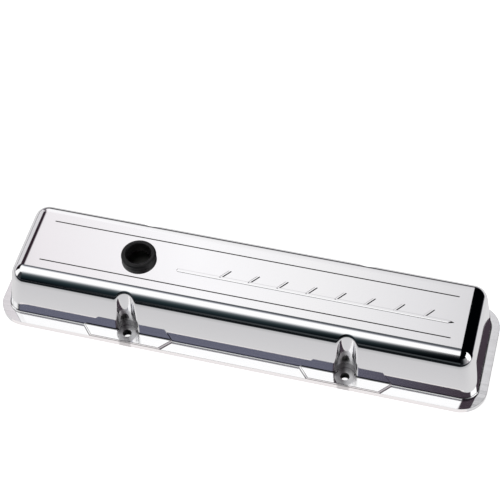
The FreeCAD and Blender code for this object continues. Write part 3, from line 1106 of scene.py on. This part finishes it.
def studio_world():
    """A dark room with white panels round the table: overhead, behind and at each side."""
    world = bpy.data.worlds.new("studio")
    world.use_nodes = True
    tree = world.node_tree
    calc, up, down, between, ramp = (
        partial(f, tree) for f in (math_node, step_up, step_down, band, colour_ramp))
    x, y, z = place_in(tree, "Generated")
    forward = calc("MULTIPLY", y, -1.0)
    azimuth = in_degrees(tree, "ARCTAN2", x, y)
    from_front = in_degrees(tree, "ARCTAN2", x, forward)
    arch = in_degrees(tree, "ARCTAN2", z, forward)
    height = in_degrees(tree, "ARCSINE", z)
    raised = calc("MAXIMUM", z, 0.02)
    across, along = calc("DIVIDE", x, raised), calc("DIVIDE", y, raised)
    depth = tree.nodes.new("ShaderNodeLightPath").outputs["Ray Depth"]
    second = calc("GREATER_THAN", depth, LATER_REFLECTION)

    # the glow below the overhead box is a little left of the front and wider towards the box
    glow = mixed(tree, second, ramp(arch, FRONT_GLOW), ramp(arch, SECOND_GLOW, 1 / METAL_SHARE))
    lifted = both(tree, second, up(arch, 56.0, 3.0))
    right_end = calc("MULTIPLY_ADD", lifted, -16.0, from_front)
    widen = calc("MAXIMUM", calc("SUBTRACT", arch, 45.0), 0.0)
    left_end = calc("MULTIPLY_ADD", widen, 1.3, from_front)
    # the box fades at its back edge, which runs further back at the left
    fade = calc("MULTIPLY_ADD", across, 0.4, along)
    further = calc("MAXIMUM", calc("MULTIPLY_ADD", across, -0.5, -0.15), 0.0)
    back_edge = calc("ADD", along, further)
    # the backdrop's top edge drops to the left, and so does the gap of the left panels
    under_top = calc("MULTIPLY_ADD", azimuth, -0.085, height)
    over_gap = calc("SUBTRACT", height, calc("MULTIPLY_ADD", azimuth, 0.52, 61.4))
    # the right panel leans a little towards the back
    leaning = calc("MULTIPLY_ADD", height, 0.5, azimuth)

    colour = layered(tree, studio_colour(ROOM), [
        # the dark room, paler overhead in later mirrors and left of the front
        (SECOND_ROOM, second, up(height, 40.0, 6.0)),
        (LEFT_DIM, between(azimuth, -156.0, -121.0, 10.0), up(height, 0.0, 4.0)),
        (glow, up(forward, 0.0, 0.04), down(right_end, -7.0, 11.0), up(left_end, -28.0, 10.0)),
        # a dim strip low in front, a grey wall right of the front and a card left of it
        (LOW_STRIP, between(arch, 1.5, 12.5, 1.0), between(from_front, -14.0, 45.0, 8.0)),
        (ramp(from_front, RIGHT_WALL), between(from_front, 12.0, 80.0, 6.0),
         between(height, -2.0, 40.0, 4.0)),
        (LEFT_CARD, between(azimuth, -125.0, -117.0, 3.0), between(height, 6.0, 38.0, 4.0)),
        # the overhead box, fading into the dark gap above the backdrop
        (ramp(fade, OVERHEAD_EDGE), up(height, 44.0, 4.0), up(back_edge, -0.43, 0.08),
         down(across, 0.0, 0.06)),
        # the backdrop, down to a dark strip at the horizon
        (ramp(azimuth, BACKDROP), between(azimuth, -37.5, -0.3, 2.0), up(height, 10.0, 14.0),
         down(under_top, 58.3, 2.5), up(y, 0.0, 0.02)),
        # the left panels: a low grey one, and a white one above it with a dark gap between
        (CARD_GREY, between(azimuth, -119.0, -37.5, 2.0), down(over_gap, -6.0, 3.0)),
        (EDGE_STRIP, between(azimuth, -41.0, -31.0, 4.0), between(height, -4.0, 33.0, 4.0)),
        (GAP, between(azimuth, -95.0, -38.0, 3.0), between(over_gap, -6.0, 6.0, 3.0)),
        (CARD_WHITE, between(azimuth, -122.0, -94.0, 5.0), up(over_gap, -6.0, 3.0),
         down(height, 52.0, 3.0)),
        # the bright panel at the right, and a duller low one beside it
        (studio_colour(CARD_WHITE, RIGHT_GAIN), up(leaning, 88.0, 6.0),
         between(height, -1.0, 50.0, 3.0), down(azimuth, 114.0, 8.0)),
        (RIGHT_LOW, between(azimuth, 106.0, 125.0, 5.0), between(height, -1.0, 13.0, 3.0)),
        (WHITE, seen_as_background(tree)),
    ])
    background = tree.nodes["Background"]
    tree.links.new(colour, background.inputs["Color"])
    background.inputs["Strength"].default_value = 1.0
    bpy.context.scene.world = world


def table_top():
    """The table: white to the camera, with a soft shadow.

    The metal sees painted light on it instead: a glow that falls off away from the cover, and
    painted shadow under the cover.
    """
    bm = bmesh.new()
    signs = [(-1, -1), (1, -1), (1, 1), (-1, 1)]
    bm.faces.new([bm.verts.new((x * TABLE_HALF, y * TABLE_HALF, -TABLE_DROP)) for x, y in signs])
    table = put_in_scene("table", mesh_of(bm, "table"))
    mat = bpy.data.materials.new("table")
    mat.use_nodes = True
    tree = mat.node_tree
    tree.nodes.remove(tree.nodes["Principled BSDF"])
    calc = partial(math_node, tree)
    x, y, _ = place_in(tree, "Object")
    out_x, out_y = calc("ABSOLUTE", x), calc("ABSOLUTE", y)
    ahead = calc("SUBTRACT", calc("MULTIPLY", y, -1.0), WALL_FOOT)
    # the painted light reaches further out at the back and the sides, and beyond it painted shade
    # darkens the table
    beyond = most(tree, step_up(tree, y, 0.45, 0.10), step_up(tree, out_x, 0.9, 0.3))
    # what the metal sees on the table is painted light and shade
    seen = layered(tree, colour_ramp(tree, ahead, TABLE_FALLOFF), [
        (BESIDE_FLANGE, band(tree, ahead, *BRIGHT_STRIP), calc("LESS_THAN", out_x, BRIGHT_HALF)),
        (FAR_TABLE_SHADE, beyond),
        # painted shadow under the cover, in the room's tone
        (ROOM, *(calc("LESS_THAN", out, end) for out, end in zip((out_x, out_y), SHADOW_UNDER_COVER))),
    ])
    glow = add_node(tree, "ShaderNodeEmission", {"Color": seen})
    bare = add_node(tree, "ShaderNodeEmission", {"Color": WHITE, "Strength": TABLE_GLOW})
    matt = add_node(tree, "ShaderNodeBsdfDiffuse", {"Color": (0.8, 0.8, 0.8, 1)})
    lit = add_node(tree, "ShaderNodeAddShader", {0: bare.outputs[0], 1: matt.outputs[0]})
    choose = add_node(tree, "ShaderNodeMixShader", {
        0: seen_as_background(tree), 1: glow.outputs[0], 2: lit.outputs[0],
    })
    tree.links.new(choose.outputs[0], tree.nodes["Material Output"].inputs["Surface"])
    table.data.materials.append(mat)


class COVER_OT_stage(bpy.types.Operator):
    """Set the table, the studio and the camera"""

    bl_idname = "cover.stage"
    bl_label = "Stage"

    def execute(self, context):
        table_top()
        studio_world()
        place_camera()
        context.scene.view_settings.view_transform = "Standard"
        return {"FINISHED"}


class COVER_PT_panel(bpy.types.Panel):
    """Lists the pieces of the cover"""

    bl_idname = "COVER_PT_panel"
    bl_label = "Valve cover"
    bl_space_type = "VIEW_3D"
    bl_region_type = "UI"
    bl_category = "Valve cover"

    def draw(self, context):
        for step in STEPS:
            self.layout.operator(step.bl_idname)
        for name in GROUPS:
            group = getattr(context.scene, name)
            box = self.layout.box()
            box.label(text=name)
            for prop in group.bl_rna.properties:
                if prop.identifier not in {"rna_type", "name"}:
                    box.prop(group, prop.identifier)


STEPS = (
    COVER_OT_body, COVER_OT_trim, COVER_OT_grommet, COVER_OT_baffle, COVER_OT_screws,
    COVER_OT_stage,
)
GROUPS = {
    "cover_form": CoverFormSettings,
    "cover_trim": TrimSettings,
    "cover_breather": BreatherSettings,
    "cover_finish": FinishSettings,
}


def register():
    for cls in (*GROUPS.values(), *STEPS, COVER_PT_panel):
        bpy.utils.register_class(cls)
    for name, cls in GROUPS.items():
        setattr(bpy.types.Scene, name, PointerProperty(type=cls))


def unregister():
    for name in GROUPS:
        delattr(bpy.types.Scene, name)
    for cls in (COVER_PT_panel, *reversed(STEPS), *reversed(list(GROUPS.values()))):
        bpy.utils.unregister_class(cls)


def main():
    register()
    for step in STEPS:
        getattr(bpy.ops.cover, step.bl_idname.split(".")[1])()


if __name__ == "__main__":
    main()
